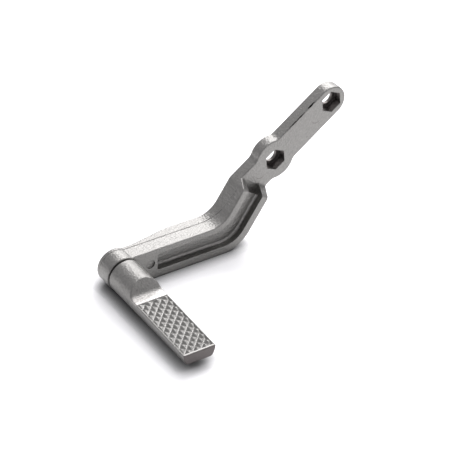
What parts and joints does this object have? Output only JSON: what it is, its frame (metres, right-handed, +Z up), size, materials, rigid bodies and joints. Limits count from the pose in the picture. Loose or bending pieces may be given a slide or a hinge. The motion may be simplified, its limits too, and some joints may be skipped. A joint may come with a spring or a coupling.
{
  "type": "kick start lever",
  "caption": "Forged kick start lever: a channelled, bent arm with a two-bolt bar at one end and a swivelling chequered foot pedal at the other.",
  "frame": {"origin": "centre of the inner bolt hole, on the back face of the bolted bar", "axes": "+Y along the bolt holes' axis, from the recessed face to the back face; +X along the arm's lower run, from the pedal towards the bend; +Z up"},
  "size_m": [0.1763, 0.103, 0.0916],
  "materials": {
    "blasted_steel": "sand-blasted forging, bare",
    "ground_steel": "ground, lightly oiled",
    "spring_steel": "oil-blackened"
  },
  "bodies": {
    "arm": {"lever_arm": "blasted_steel", "thrust_washer": "ground_steel", "rear_washer": "ground_steel", "disc_spring": "spring_steel"},
    "pedal": {"foot_pedal": "blasted_steel", "pivot_pin": "ground_steel", "retaining_ring": "spring_steel"}
  },
  "joints": [
    {"name": "pedal_swivel", "type": "hinge", "parent": "arm", "child": "pedal", "pos_m": [-0.114, -0.017, -0.04], "axis": [0, 1, 0], "continuous": true}
  ]
}
